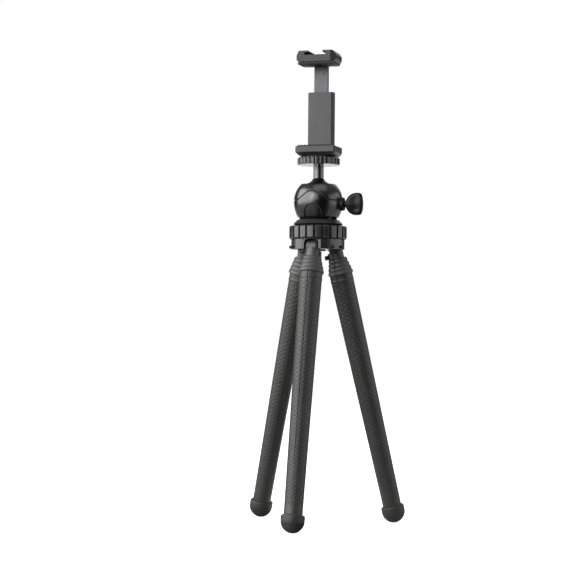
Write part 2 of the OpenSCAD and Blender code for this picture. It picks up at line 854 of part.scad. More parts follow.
// Threaded bush in the lower jaw
module thread_bush() {
    brass()
        translate([0, 0, jaw_z])
            difference() {
                cylinder(r = stud_r + 1.8, h = jaw_h - 1.2);
                translate([0, 0, -1]) cylinder(r = stud_r + fit, h = jaw_h + 2);
            }
}

// Square nut for the thumb screw, dropped into the back from above
module clamp_nut() {
    bright_metal()
        difference() {
            translate([-nut_w / 2, nut_y, thumb_z - nut_w / 2]) cube([nut_w, nut_t, nut_w]);
            translate([0, nut_y - 1, thumb_z])
                rotate([-90, 0, 0]) cylinder(d = thumb_d + 2 * fit, h = nut_t + 2);
        }
}

// Upper jaw, with the accessory shoe cut into its top
module upper_jaw() {
    cut = 4;
    slope = 2.2;
    floor_z = upper_top - shoe_lip_t - shoe_slot_h;
    half = jaw_w / 2;
    back_stop = jaw_back - 5;
    plastic()
        difference() {
            intersection() {
                translate([0, 0, upper_z]) linear_extrude(height = upper_h) jaw_plan(upper_front, cut);
                translate([0, jaw_back + 1, 0])
                    rotate([90, 0, 0])
                        linear_extrude(height = jaw_depth + 4)
                            polygon([
                                [-half + slope, upper_z], [half - slope, upper_z],
                                [half - slope, upper_z + 1.2], [half, upper_z + 1.2 + slope],
                                [half, upper_top - 3.4], [half - 2.6, upper_top],
                                [-half + 2.6, upper_top], [-half, upper_top - 3.4],
                                [-half, upper_z + 1.2 + slope], [-half + slope, upper_z + 1.2]
                            ]);
                translate([-jaw_w, 0, 0])
                    rotate([90, 0, 90])
                        linear_extrude(height = 2 * jaw_w)
                            polygon([
                                [upper_front + 1.8, upper_z], [jaw_back, upper_z],
                                [jaw_back, upper_top - 3.4], [jaw_back - 2.6, upper_top],
                                [upper_front, upper_top], [upper_front, upper_z + 1.2],
                                [upper_front + 1.8, upper_z + 1.2]
                            ]);
            }
            translate([-shoe_slot_w / 2, upper_front - 1, floor_z])
                cube([shoe_slot_w, back_stop - upper_front + 1, shoe_slot_h]);
            translate([-shoe_mouth_w / 2, upper_front - 1, floor_z])
                cube([shoe_mouth_w, back_stop - upper_front + 1, upper_h]);
            translate([-bar_w / 2, bar_y, upper_z - 1]) cube([bar_w, bar_t, 5]);
        }
}

// Slide bar, fixed in the upper jaw and sliding in the back of the lower jaw
module slide_bar() {
    dark_metal()
        translate([-bar_w / 2, bar_y, bar_low]) cube([bar_w, bar_t, upper_z + 4 - bar_low]);
}

// Knob of the thumb screw behind the clamp
module thumb_knob() {
    plastic()
        translate([0, jaw_back + 2 * gap, thumb_z])
            rotate([-90, 0, 0])
                difference() {
                    rotate_extrude()
                        polygon([
                            [0, 0], [thumb_knob_d / 2 - 2, 0], [thumb_knob_d / 2, 2],
                            [thumb_knob_d / 2, thumb_knob_t - 0.8],
                            [thumb_knob_d / 2 - 0.8, thumb_knob_t], [0, thumb_knob_t]
                        ]);
                    for (k = [0 : 11])
                        rotate([0, 0, 30 * k])
                            translate([thumb_knob_d / 2 + 0.7, 0, -1])
                                cylinder(r = 1.5, h = thumb_knob_t + 2, $fn = 24);
                    translate([0, 0, -1]) cylinder(d = thumb_d, h = 5);
                }
}

// Thumb screw, which presses on the slide bar
module thumb_screw() {
    bright_metal()
        translate([0, bar_y + bar_t + 2 * fit, thumb_z])
            rotate([-90, 0, 0])
                cylinder(d = thumb_d, h = jaw_back + 2 * gap + 4 - bar_y - bar_t - 2 * fit);
}

module leg_1_socket() { plastic() leg_socket(0); }
module leg_1_core() { bright_metal() leg_core(0); }
module leg_1_sleeve_1() { rubber() leg_sleeve_top(0); }
module leg_1_sleeve_2() { rubber() leg_sleeve_mid(0, 1); }
module leg_1_sleeve_3() { rubber() leg_sleeve_mid(0, 2); }
module leg_1_sleeve_4() { rubber() leg_sleeve_low(0); }
module leg_1_flex_1() { rubber() leg_flex(0, 0); }
module leg_1_flex_2() { rubber() leg_flex(0, 1); }
module leg_1_flex_3() { rubber() leg_flex(0, 2); }
module leg_1_foot() { rubber() leg_foot(0); }

module leg_2_socket() { plastic() leg_socket(1); }
module leg_2_core() { bright_metal() leg_core(1); }
module leg_2_sleeve_1() { rubber() leg_sleeve_top(1); }
module leg_2_sleeve_2() { rubber() leg_sleeve_mid(1, 1); }
module leg_2_sleeve_3() { rubber() leg_sleeve_mid(1, 2); }
module leg_2_sleeve_4() { rubber() leg_sleeve_low(1); }
module leg_2_flex_1() { rubber() leg_flex(1, 0); }
module leg_2_flex_2() { rubber() leg_flex(1, 1); }
module leg_2_flex_3() { rubber() leg_flex(1, 2); }
module leg_2_foot() { rubber() leg_foot(1); }

module leg_3_socket() { plastic() leg_socket(2); }
module leg_3_core() { bright_metal() leg_core(2); }
module leg_3_sleeve_1() { rubber() leg_sleeve_top(2); }
module leg_3_sleeve_2() { rubber() leg_sleeve_mid(2, 1); }
module leg_3_sleeve_3() { rubber() leg_sleeve_mid(2, 2); }
module leg_3_sleeve_4() { rubber() leg_sleeve_low(2); }
module leg_3_flex_1() { rubber() leg_flex(2, 0); }
module leg_3_flex_2() { rubber() leg_flex(2, 1); }
module leg_3_flex_3() { rubber() leg_flex(2, 2); }
module leg_3_foot() { rubber() leg_foot(2); }

hub_body();
hub_stud();
hub_cap();
hinge_pins();
lock_ring();
head_flange();
lower_shell();
upper_shell();
ball_cup();
knob_bush();
head_screws();
brake_shoe();
lock_knob();
knob_screw();
ball_stem();
mount_stud();
lock_wheel();
wheel_pad();
lower_jaw();
lower_pad();
thread_bush();
clamp_nut();
upper_jaw();
slide_bar();
upper_pad();
thumb_knob();
thumb_screw();
leg_1_socket();
leg_1_core();
leg_1_foot();
leg_1_sleeve_1();
leg_1_sleeve_2();
leg_1_sleeve_3();
leg_1_sleeve_4();
leg_1_flex_1();
leg_1_flex_2();
leg_1_flex_3();
leg_2_socket();
leg_2_core();
leg_2_foot();
leg_2_sleeve_1();
leg_2_sleeve_2();
leg_2_sleeve_3();
leg_2_sleeve_4();
leg_2_flex_1();
leg_2_flex_2();
leg_2_flex_3();
leg_3_socket();
leg_3_core();
leg_3_foot();
leg_3_sleeve_1();
leg_3_sleeve_2();
leg_3_sleeve_3();
leg_3_sleeve_4();
leg_3_flex_1();
leg_3_flex_2();
leg_3_flex_3();
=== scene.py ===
# %% [markdown]
# # Dressing a flexible leg tripod
# This lesson dresses a CAD model of a small tripod: three rubber legs that bend, a hub with a
# ribbed ring, a ball head and a sliding clamp. The CAD model is the fixed frame. Every size and
# place comes from it, and Blender adds the finishes and the fine shapes.

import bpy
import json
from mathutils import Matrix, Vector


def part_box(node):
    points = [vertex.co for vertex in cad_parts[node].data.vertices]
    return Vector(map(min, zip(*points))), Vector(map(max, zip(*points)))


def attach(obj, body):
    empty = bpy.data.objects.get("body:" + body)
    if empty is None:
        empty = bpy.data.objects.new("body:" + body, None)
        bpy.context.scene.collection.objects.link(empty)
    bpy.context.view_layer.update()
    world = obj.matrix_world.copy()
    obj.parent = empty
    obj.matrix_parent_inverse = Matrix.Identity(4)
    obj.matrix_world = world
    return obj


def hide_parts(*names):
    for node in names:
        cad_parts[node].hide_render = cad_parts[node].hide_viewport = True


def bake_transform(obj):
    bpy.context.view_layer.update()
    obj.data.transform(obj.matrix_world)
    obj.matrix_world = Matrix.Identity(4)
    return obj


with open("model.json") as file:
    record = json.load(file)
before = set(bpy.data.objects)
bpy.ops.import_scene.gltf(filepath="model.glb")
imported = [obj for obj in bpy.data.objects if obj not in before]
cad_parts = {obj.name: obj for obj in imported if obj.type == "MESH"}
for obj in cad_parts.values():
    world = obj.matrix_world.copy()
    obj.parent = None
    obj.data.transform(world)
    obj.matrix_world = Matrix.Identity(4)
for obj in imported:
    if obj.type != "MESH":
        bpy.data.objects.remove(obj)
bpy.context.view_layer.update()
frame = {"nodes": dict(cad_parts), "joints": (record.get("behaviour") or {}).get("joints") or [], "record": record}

# %% Tools used in this lesson
import json
import math

import bmesh
import bpy
import numpy as np
from mathutils import Matrix, Vector

scene = bpy.context.scene
joints = {joint["name"]: joint for joint in frame["joints"]}

# %% [markdown]
# ## Camera
# A tall thin object is photographed from some way off with a long lens, so that its legs don't
# seem to spread. The camera stands a little to the right of the front, lower than the hub. It is
# placed by turn, distance and height, because those are what a photographer would change.

# %% Place the camera
CAMERA_TURN, CAMERA_AWAY, CAMERA_HEIGHT = 15.68, 1.439, 0.170
CAMERA_LENS, CAMERA_PAN, CAMERA_TILT, CAMERA_ROLL = 106.9, 0.99, 1.10, 0.51


def turn_about(axis, degrees):
    return Matrix.Rotation(math.radians(degrees), 4, axis)


camera = bpy.data.objects.new("studio_camera", bpy.data.cameras.new("studio_camera"))
camera.data.lens, camera.data.sensor_width = CAMERA_LENS, 36.0
scene.collection.objects.link(camera)
stand = turn_about("Z", CAMERA_TURN) @ Vector((0, -CAMERA_AWAY, CAMERA_HEIGHT))
aim = turn_about("Z", CAMERA_TURN + CAMERA_PAN) @ turn_about("X", 90 + CAMERA_TILT)
camera.matrix_world = Matrix.Translation(stand) @ aim @ turn_about("Z", CAMERA_ROLL)
scene.camera = camera
scene.view_settings.view_transform = "Standard"
print("camera at", [round(value, 3) for value in stand])

# %% [markdown]
# ## A helper for shader nodes
# Finishes and studio are both made of shader nodes. Placing nodes by hand in the editor is fine
# for one material. Here a short helper adds a node, sets its options and joins its inputs.


# %% The node helper
def node(tree, kind, inputs=None, **options):
    made = tree.nodes.new("ShaderNode" + kind)
    for name, value in options.items():
        setattr(made, name, value)
    for name, value in (inputs or {}).items():
        if isinstance(value, bpy.types.NodeSocket):
            tree.links.new(value, made.inputs[name])
        else:
            made.inputs[name].default_value = value
    return made


def math_node(tree, operation, first, second):
    return node(tree, "Math", {0: first, 1: second}, operation=operation).outputs[0]


def blend_value(tree, value, low, high, to_low, to_high):
    sizes = {"From Min": low, "From Max": high, "To Min": to_low, "To Max": to_high}
    return node(tree, "MapRange", {"Value": value, **sizes}, interpolation_type="SMOOTHSTEP").outputs[0]


def blend_colour(tree, amount, first, second):
    mixed = node(tree, "Mix", {0: amount, 6: first, 7: second}, data_type="RGBA")
    return mixed.outputs[2]


# %% [markdown]
# ## Studio
# The object stands on a white sweep. White paper can be lit until it is white, but the same light
# would wash out black plastic. So the floor and the surroundings are shown white to the eye, and the
# lamps stay at a plain level. In reflections only the paper right behind the object is white. Beside
# it the studio is dark, as if black cards stood there, and that draws a dark line along each glossy
# edge. A bright card at the front left carries the main highlight round to the front of the ball
# housing. It is darkest where the photographer stands, which gives black plastic its dark middle.


# %% Rays that see the background
def seen_rays(tree):
    path = node(tree, "LightPath").outputs
    either = math_node(tree, "MAXIMUM", path["Is Camera Ray"], path["Is Glossy Ray"])
    return math_node(tree, "MAXIMUM", either, path["Is Transmission Ray"]), path["Is Glossy Ray"]


# %% Directions in the studio, seen from above
CARD_TURN, CARD_HEIGHT, CARD_BRIGHT = -22, 20, 3.2
DARK_TURN = 20


def studio_line(turn, height=0):
    return (turn_about("Z", CAMERA_TURN + turn) @ turn_about("X", -height) @ Vector((0, -1, 0)))[:]


def along_line(tree, direction, line):
    return node(tree, "VectorMath", {0: direction, 1: line}, operation="DOT_PRODUCT").outputs["Value"]


towards_camera, towards_dark = studio_line(0), studio_line(DARK_TURN)
towards_right, towards_card = studio_line(90), studio_line(CARD_TURN, CARD_HEIGHT)
print("bright card toward", [round(value, 2) for value in towards_card])

# %% White surroundings
SOFT_LIGHT = 0.15
world = bpy.data.worlds.new("studio")
scene.world = world
world.use_nodes = True
sky = world.node_tree
sky.nodes.clear()
seen, glossy = seen_rays(sky)
direction = node(sky, "TexCoord").outputs["Generated"]
beside = blend_value(sky, along_line(sky, direction, towards_camera), -0.98, -0.86, 0.0, 0.97)
ceiling = blend_value(sky, along_line(sky, direction, (0, 0, 1)), 0.30, 0.80, 0.0, 0.35)
dark_side = math_node(sky, "SUBTRACT", beside, ceiling)
card = blend_value(sky, along_line(sky, direction, towards_card), 0.925, 0.985, 0.0, CARD_BRIGHT)
reflected = math_node(sky, "SUBTRACT", card, dark_side)
shown = math_node(sky, "ADD", 1.0, math_node(sky, "MULTIPLY", glossy, reflected))
white = node(sky, "Background", {"Color": (1, 1, 1, 1), "Strength": shown})
lamp_fill = node(sky, "Background", {"Color": (1, 1, 1, 1), "Strength": SOFT_LIGHT})
both = node(sky, "MixShader", {0: seen, 1: lamp_fill.outputs[0], 2: white.outputs[0]})
node(sky, "OutputWorld", {"Surface": both.outputs[0]})
print("surroundings: white when seen,", SOFT_LIGHT, "as light")

# %% Round floor
FLOOR_RADIUS = 7.0
floor_mesh = bpy.data.meshes.new("floor")
build = bmesh.new()
bmesh.ops.create_circle(build, cap_ends=True, radius=FLOOR_RADIUS, segments=96)
build.to_mesh(floor_mesh)
build.free()
floor = bpy.data.objects.new("floor", floor_mesh)
scene.collection.objects.link(floor)
print("floor radius", FLOOR_RADIUS, "m")

# %% Paper of the floor
paper = bpy.data.materials.new("floor_paper")
paper.use_nodes = True
tree = paper.node_tree
tree.nodes.clear()
seen, glossy = seen_rays(tree)
spot = node(tree, "TexCoord").outputs["Object"]
distance = node(tree, "VectorMath", {0: spot}, operation="LENGTH").outputs["Value"]
glow = blend_value(tree, distance, 0.10, 0.60, 0.80, 1.0)
fibres = node(tree, "TexNoise", {"Vector": spot, "Scale": 900.0, "Detail": 3.0}).outputs[0]
paper_white = blend_colour(tree, fibres, (0.80, 0.80, 0.79, 1), (0.84, 0.84, 0.84, 1))
bounce = node(tree, "LightPath").outputs["Is Diffuse Ray"]
line_out = node(tree, "VectorMath", {0: spot}, operation="NORMALIZE").outputs["Vector"]
right_share = blend_value(tree, along_line(tree, line_out, towards_right), 0.3, 0.9, 0.76, 0.58)
beside = blend_value(tree, along_line(tree, line_out, towards_camera), -0.96, -0.80, 0.0, right_share)
before = blend_value(tree, along_line(tree, line_out, towards_dark), 0.60, 0.95, 0.0, 0.98)
hidden = math_node(tree, "MULTIPLY", glossy, math_node(tree, "MAXIMUM", beside, before))
for less in (math_node(tree, "MULTIPLY", bounce, 0.6), hidden):
    paper_white = blend_colour(tree, less, paper_white, (0, 0, 0, 1))
matt = node(tree, "BsdfDiffuse", {"Color": paper_white})
flagged = math_node(tree, "SUBTRACT", seen, hidden)
lift = node(tree, "Emission", {"Color": (1, 1, 1, 1), "Strength": math_node(tree, "MULTIPLY", glow, flagged)})
sweep = node(tree, "AddShader", {0: matt.outputs[0], 1: lift.outputs[0]})
node(tree, "OutputMaterial", {"Surface": sweep.outputs[0]})
floor_mesh.materials.append(paper)
print("floor finish:", paper.name)

# %% Soft lamps
LAMP_AIM = Vector((0, 0, 0.24))


def soft_lamp(name, turn, height, away, width, tall, watts):
    """A soft box: turn is in degrees to the camera's right, height in degrees above the floor."""
    data = bpy.data.lights.new(name, "AREA")
    data.shape, data.size, data.size_y, data.energy = "RECTANGLE", width, tall, watts
    lamp = bpy.data.objects.new(name, data)
    scene.collection.objects.link(lamp)
    line = turn_about("Z", CAMERA_TURN + turn) @ turn_about("X", -height) @ Vector((0, -away, 0))
    lamp.matrix_world = Matrix.Translation(LAMP_AIM + line) @ line.to_track_quat("Z", "Y").to_matrix().to_4x4()
    return lamp


soft_lamp("key_box", -70, 22, 1.3, 2.4, 1.2, 48)
soft_lamp("side_box", 88, 11, 1.6, 2.2, 1.0, 11)
soft_lamp("top_box", 15, 68, 1.4, 1.2, 0.8, 4)
soft_lamp("back_box", 170, 35, 1.7, 1.6, 1.0, 5)
print("four soft boxes")

# %% [markdown]
# ## Moulded plastic
# The hub, ring, jaws and knobs are moulded in black nylon. The mould is spark eroded, so the skin
# has a fine grain, dull in the hollows. The edges are worn a little smoother and paler, and the pale
# edge colour is also a painted highlight along each edge. The grain and the cloudiness are noise at
# two scales. The edge is found with a Bevel node, which also rounds the highlight along each CAD edge
# without touching the mesh. The same recipe, with another polish and black, serves every moulded
# piece. Deep slots, the seam of the ball housing and the gap under it are painted near black as
# painted shade, and made fully rough. They are found by their distance from the axis or from the
# middle of the ball housing, because a slot is simply deeper than the skin.


# %% Helpers for every finish
def speckle(tree, place, cell_mm, detail=3.0):
    return node(tree, "TexNoise", {"Vector": place, "Scale": 1000.0 / cell_mm, "Detail": detail}).outputs[0]


def new_finish(name):
    material = bpy.data.materials.new(name)
    material.use_nodes = True
    material.node_tree.nodes.clear()
    return material, material.node_tree, node(material.node_tree, "TexCoord").outputs["Object"]


def grey(value):
    return (value, value, value * 1.03, 1.0)


def finish_surface(tree, colour, roughness, bump, metal=0.0, specular=0.5):
    skin = {"Base Color": colour, "Roughness": roughness, "Normal": bump}
    shader = node(tree, "BsdfPrincipled", {**skin, "Metallic": metal, "Specular IOR Level": specular})
    node(tree, "OutputMaterial", {"Surface": shader.outputs[0]})


# %% Slots, seam and gap painted dark as shade
SLOT_EDGE = 0.0003
# Near black painted as shade into slot floors, the shell seam and the gap under the housing.
PAINTED_SHADE_BLACK, DULL_ROUGH = grey(0.0015), 0.95
SHELL_MIDDLE_UP, SEAM_LOWEST = 0.0135, -0.0015


def length_of(tree, vector):
    return node(tree, "VectorMath", {0: vector}, operation="LENGTH").outputs["Value"]


def deeper_than(tree, distance, limit):
    return blend_value(tree, distance, limit, limit - SLOT_EDGE, 0.0, 1.0)


def near_axis(limit_mm):
    def amount(tree, place):
        flat = node(tree, "VectorMath", {0: place, 1: (1, 1, 0)}, operation="MULTIPLY").outputs["Vector"]
        return deeper_than(tree, length_of(tree, flat), limit_mm / 1000)
    return amount


def in_seam(tree, place):
    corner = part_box("lower_shell")[0]
    middle = (0, 0, corner.z + SHELL_MIDDLE_UP)
    offset = node(tree, "VectorMath", {0: place, 1: middle}, operation="SUBTRACT").outputs["Vector"]
    painted_shade_mask = deeper_than(tree, length_of(tree, offset), -corner.x - 0.0002)
    height = node(tree, "SeparateXYZ", {0: offset}).outputs["Z"]
    return math_node(tree, "MULTIPLY", painted_shade_mask, math_node(tree, "GREATER_THAN", height, SEAM_LOWEST))


# %% The moulded finish
def moulded_finish(name, colours, rough, grain_mm, grain_depth_mm, edge_mm, specular=0.5, shaded_hollows=None):
    dark, pale, rubbed_and_highlit = colours
    material, tree, place = new_finish(name)
    cloud = speckle(tree, place, 17.0, 4.0)
    grain = speckle(tree, place, grain_mm, 2.0)
    rounded = node(tree, "Bevel", {"Radius": edge_mm / 1000}, samples=6).outputs["Normal"]
    skin_normal = node(tree, "NewGeometry").outputs["Normal"]
    agree = node(tree, "VectorMath", {0: rounded, 1: skin_normal}, operation="DOT_PRODUCT").outputs["Value"]
    edge = blend_value(tree, agree, 0.998, 0.90, 0.0, 1.0)
    # The pale edge colour is partly wear and partly a painted highlight along each edge.
    edge_wear_and_highlight = math_node(tree, "MULTIPLY", edge, blend_value(tree, speckle(tree, place, 2.6), 0.35, 0.65, 0.1, 0.8))
    colour = blend_colour(tree, cloud, grey(dark), grey(pale))
    colour = blend_colour(tree, edge_wear_and_highlight, colour, grey(rubbed_and_highlit))
    mixed = math_node(tree, "ADD", math_node(tree, "MULTIPLY", grain, 0.6), math_node(tree, "MULTIPLY", cloud, 0.4))
    roughness = blend_value(tree, mixed, 0.30, 0.70, rough - 0.06, rough + 0.08)
    roughness = math_node(tree, "SUBTRACT", roughness, math_node(tree, "MULTIPLY", edge_wear_and_highlight, 0.07))
    # Painted shade: deep slots, the seam and the gap under the housing are painted near black and made rough.
    if shaded_hollows:
        painted_shade_mask = shaded_hollows(tree, place)
        colour = blend_colour(tree, painted_shade_mask, colour, PAINTED_SHADE_BLACK)
        roughness = blend_value(tree, painted_shade_mask, 0.0, 1.0, roughness, DULL_ROUGH)
    skin = {"Height": grain, "Distance": grain_depth_mm / 1000, "Strength": 0.6, "Normal": rounded}
    bump = node(tree, "Bump", skin).outputs["Normal"]
    finish_surface(tree, colour, roughness, bump, 0.0, specular)
    return material


# %% The plastics of this tripod: dark, pale and edge black (worn and a painted edge highlight), roughness, grain and edge in mm, shine, slots painted dark as shade
# The shell, ring and flange take painted shade in their seam, slot floors and the gap under the housing.
nylon = moulded_finish("black_nylon", (0.034, 0.048, 0.085), 0.46, 0.34, 0.018, 0.35)
jaw_nylon = moulded_finish("jaw_nylon", (0.016, 0.023, 0.070), 0.46, 0.34, 0.018, 0.35)
shoe_nylon = moulded_finish("shoe_nylon", (0.007, 0.012, 0.055), 0.42, 0.34, 0.016, 0.35, 0.35)
shell_nylon = moulded_finish("shell_nylon", (0.0007, 0.0014, 0.040), 0.24, 0.26, 0.006, 0.90, 0.75, in_seam)
wheel_nylon = moulded_finish("wheel_nylon", (0.005, 0.010, 0.040), 0.19, 0.34, 0.010, 0.30)
seat_acetal = moulded_finish("seat_acetal", (0.62, 0.72, 0.80), 0.40, 0.30, 0.008, 0.20)
knob_nylon = moulded_finish("knob_nylon", (0.002, 0.004, 0.050), 0.34, 0.34, 0.014, 0.30, 0.19)
ring_nylon = moulded_finish("ring_nylon", (0.011, 0.017, 0.075), 0.30, 0.34, 0.012, 0.35, 0.58, near_axis(23.7))
hub_nylon = moulded_finish("hub_nylon", (0.010, 0.016, 0.060), 0.30, 0.34, 0.012, 0.35, 0.62)
flange_nylon = moulded_finish("flange_nylon", (0.018, 0.026, 0.060), 0.34, 0.34, 0.014, 0.30, 0.12, near_axis(16.4))
plastics = (nylon, jaw_nylon, shoe_nylon, shell_nylon, wheel_nylon, knob_nylon, ring_nylon, hub_nylon, flange_nylon,
            seat_acetal)
print("plastic finishes:", [plastic.name for plastic in plastics])

# %% [markdown]
# ## Rubber
# The sleeves, feet and pads are soft rubber. It has no polish at all: a dull skin with a fine
# tooth, a trace of dust in the hollows, and a slightly browner black than the plastic. Noise gives
# the tooth and the dust. On the sleeves the grooves between the scales are painted darker, as
# painted shade in the grooves, and are duller. Their depth is stored on the mesh as a value named
# groove, which the finish reads, so that the painted shade stays on the grooves however the mesh moves.


# %% Rubber finishes
def rubber_finish(name, dark, pale, rough, tooth_mm, tooth_depth_mm, specular, groove_shaded=False):
    material, tree, place = new_finish(name)
    cloud = speckle(tree, place, 22.0, 5.0)
    tooth = speckle(tree, place, tooth_mm, 3.0)
    dust = blend_value(tree, speckle(tree, place, 6.0, 6.0), 0.50, 0.78, 0.0, 0.35)
    brown_dark, brown_pale = (dark * 1.03, dark, dark * 0.98, 1), (pale * 1.03, pale, pale * 0.98, 1)
    colour = blend_colour(tree, cloud, brown_dark, brown_pale)
    colour = blend_colour(tree, dust, colour, (pale * 1.7, pale * 1.66, pale * 1.6, 1))
    roughness = blend_value(tree, tooth, 0.3, 0.7, rough - 0.05, rough + 0.07)
    # Painted shade: the grooves are painted darker, towards black, by their depth.
    if groove_shaded:
        depth = node(tree, "Attribute", attribute_name="groove").outputs["Fac"]
        colour = blend_colour(tree, math_node(tree, "MULTIPLY", depth, 0.44), colour, (0.001, 0.001, 0.001, 1))
        roughness = math_node(tree, "ADD", roughness, math_node(tree, "MULTIPLY", depth, 0.20))
    bump = node(tree, "Bump", {"Height": tooth, "Distance": tooth_depth_mm / 1000, "Strength": 0.7})
    finish_surface(tree, colour, roughness, bump.outputs["Normal"], 0.0, specular)
    return material


sleeve_rubber = rubber_finish("sleeve_rubber", 0.017, 0.028, 0.44, 0.30, 0.016, 0.45, True)
foot_rubber = rubber_finish("foot_rubber", 0.013, 0.022, 0.52, 0.40, 0.020, 0.40)
jaw_rubber = rubber_finish("jaw_rubber", 0.004, 0.008, 0.62, 0.40, 0.020, 0.30)
print("rubber finishes:", sleeve_rubber.name, foot_rubber.name, jaw_rubber.name)

# %% [markdown]
# ## Metal
# The ball and stem are one turned piece, blackened after turning, so faint rings run round it. The
# hinge pins, the knob's screw and its bush are dull black oxide. Hidden studs and screws are plain
# steel, the bush in the jaw is brass, the slide bar is dark drawn metal and the leg core is soft
# aluminium wire. Rings come from a wave along the axis, and drawn metal from noise stretched along
# its length.


# %% Metal finishes
def turned_metal(name, dark, pale, rough, ring_mm, ring_depth_mm):
    material, tree, place = new_finish(name)
    rings = {"Vector": place, "Scale": 314.0 / ring_mm, "Distortion": 0.6, "Detail": 2.0}
    ring = node(tree, "TexWave", rings, bands_direction="Z").outputs["Fac"]
    cloud = speckle(tree, place, 8.0, 4.0)
    colour = blend_colour(tree, cloud, dark, pale)
    roughness = blend_value(tree, ring, 0.0, 1.0, rough - 0.04, rough + 0.06)
    rounded = node(tree, "Bevel", {"Radius": 0.00025}, samples=6).outputs["Normal"]
    skin = {"Height": ring, "Distance": ring_depth_mm / 1000, "Strength": 0.4, "Normal": rounded}
    finish_surface(tree, colour, roughness, node(tree, "Bump", skin).outputs["Normal"], 1.0)
    return material


def drawn_metal(name, dark, pale, rough, stretch):
    material, tree, place = new_finish(name)
    along = node(tree, "Mapping", {"Vector": place, "Scale": stretch}).outputs[0]
    lines = speckle(tree, along, 0.5, 3.0)
    colour = blend_colour(tree, lines, dark, pale)
    roughness = blend_value(tree, lines, 0.3, 0.7, rough - 0.05, rough + 0.08)
    rounded = node(tree, "Bevel", {"Radius": 0.0003}, samples=6).outputs["Normal"]
    skin = {"Height": lines, "Distance": 0.000008, "Strength": 0.4, "Normal": rounded}
    finish_surface(tree, colour, roughness, node(tree, "Bump", skin).outputs["Normal"], 1.0)
    return material


black_metal = turned_metal("blackened_metal", grey(0.075), grey(0.11), 0.32, 0.22, 0.004)
oxide_metal = turned_metal("oxide_metal", grey(0.018), grey(0.030), 0.60, 0.30, 0.004)
bar_metal = drawn_metal("bar_metal", grey(0.045), grey(0.070), 0.40, (1, 1, 0.04))
steel = turned_metal("bright_steel", grey(0.50), grey(0.60), 0.26, 0.35, 0.006)
brass = turned_metal("brass", (0.56, 0.38, 0.13, 1), (0.66, 0.47, 0.18, 1), 0.28, 0.40, 0.008)
core_wire = drawn_metal("core_aluminium", grey(0.60), grey(0.70), 0.38, (1, 1, 0.03))
print("metal finishes:", [metal.name for metal in (black_metal, oxide_metal, bar_metal, steel, brass, core_wire)])

# %% [markdown]
# ## Finishes on the CAD pieces
# The CAD pieces already have their right shapes, so they only change finish. Each names a slot in
# the record, and the slot picks the finish.

# %% Give each CAD piece its finish
finish_of_slot = {
    "sleeve_rubber": sleeve_rubber, "pad_rubber": foot_rubber, "black_plastic": nylon,
    "shell_plastic": shell_nylon, "dark_metal": bar_metal, "ball_metal": black_metal,
    "core_aluminium": core_wire, "steel": steel, "brass": brass, "pale_plastic": seat_acetal,
}
finish_of_piece = {
    "hinge_pins": oxide_metal, "knob_bush": oxide_metal, "knob_screw": oxide_metal,
    "lower_jaw": jaw_nylon, "upper_jaw": shoe_nylon,
    "lock_wheel": wheel_nylon, "lock_ring": ring_nylon, "hub_body": hub_nylon, "head_flange": flange_nylon,
}
for part in frame["record"]["subparts"]:
    piece = frame["nodes"][part["node"]]
    for place in piece.material_slots:
        place.material = finish_of_piece.get(part["node"], finish_of_slot[part["material_slot"]])

# %% [markdown]
# ## The line of each leg
# A leg runs from its hinge pin, outward and down. The joints of the frame hold the pin and the
# first bend, so the line of the leg is read from them. Every point of a leg piece is then given as
# a distance down the leg, a radius and an angle round it, with zero facing outward.


# %% Leg points
def leg_line(leg):
    pin = np.array(joints[leg + "_hinge"]["pos_m"])
    bend = np.array(joints[leg + "_bend_1"]["pos_m"])
    down = (bend - pin) / np.linalg.norm(bend - pin)
    outward = np.array([pin[0], pin[1], 0.0])
    outward = outward - down * outward.dot(down)
    outward = outward / np.linalg.norm(outward)
    return pin, down, outward, np.cross(down, outward)


def leg_points(leg, along, radius, angle):
    pin, down, outward, across = leg_line(leg)
    along, radius, angle = (np.asarray(value)[..., None] for value in (along, radius, angle))
    return pin + along * down + radius * (np.cos(angle) * outward + np.sin(angle) * across)


LEGS = ("leg_1", "leg_2", "leg_3")

# %% [markdown]
# ## Scales on the sleeve
# The sleeve is moulded with rows of flat six-sided scales and a fine groove between them, so a hand
# can grip it. A bump map would give the look but a smooth outline. Here the grooves are pressed into
# the mesh. The grid is counted so that each corner of a scale falls on a grid point: nine points for
# a column, six for a row. The rows get closer as the leg gets thinner, so each scale keeps its form.

# %% Pattern of the scales
LEG_LENGTH, FOOT_RADIUS, FOOT_RIM = 0.2286, 0.0098, 0.0049
TOP_RADIUS, END_RADIUS = 0.00975, 0.0079
SLEEVE_TOP, SLEEVE_END = 0.023, LEG_LENGTH - FOOT_RIM
SCALE_TOP, SCALE_END = 0.0300, SLEEVE_END - 0.0043
COLUMNS, POINTS_PER_COLUMN, POINTS_PER_ROW = 18, 9, 6
GROOVE_DEPTH, GROOVE_WIDTH = 0.00019, 0.00048
AROUND = COLUMNS * POINTS_PER_COLUMN
angles = np.arange(AROUND) * 2 * math.pi / AROUND
thinning = (TOP_RADIUS - END_RADIUS) / (SLEEVE_END - SLEEVE_TOP)


def sleeve_radius(along):
    return TOP_RADIUS - thinning * (along - SLEEVE_TOP)


first_radius = sleeve_radius(SCALE_TOP)
half_side = first_radius * (2 * math.pi / COLUMNS) / 3
row_height = 2 * math.sqrt(3) * half_side
unrolled_end = first_radius / thinning * math.log(first_radius / sleeve_radius(SCALE_END))
scale_rows = int(unrolled_end / row_height)
unrolled = np.arange(scale_rows * POINTS_PER_ROW + 1) * row_height / POINTS_PER_ROW
scale_along = SCALE_TOP + first_radius * (1 - np.exp(-unrolled * thinning / first_radius)) / thinning
print(COLUMNS, "columns and", scale_rows, "rows of scales, each", round(row_height * 1000, 2), "mm high")


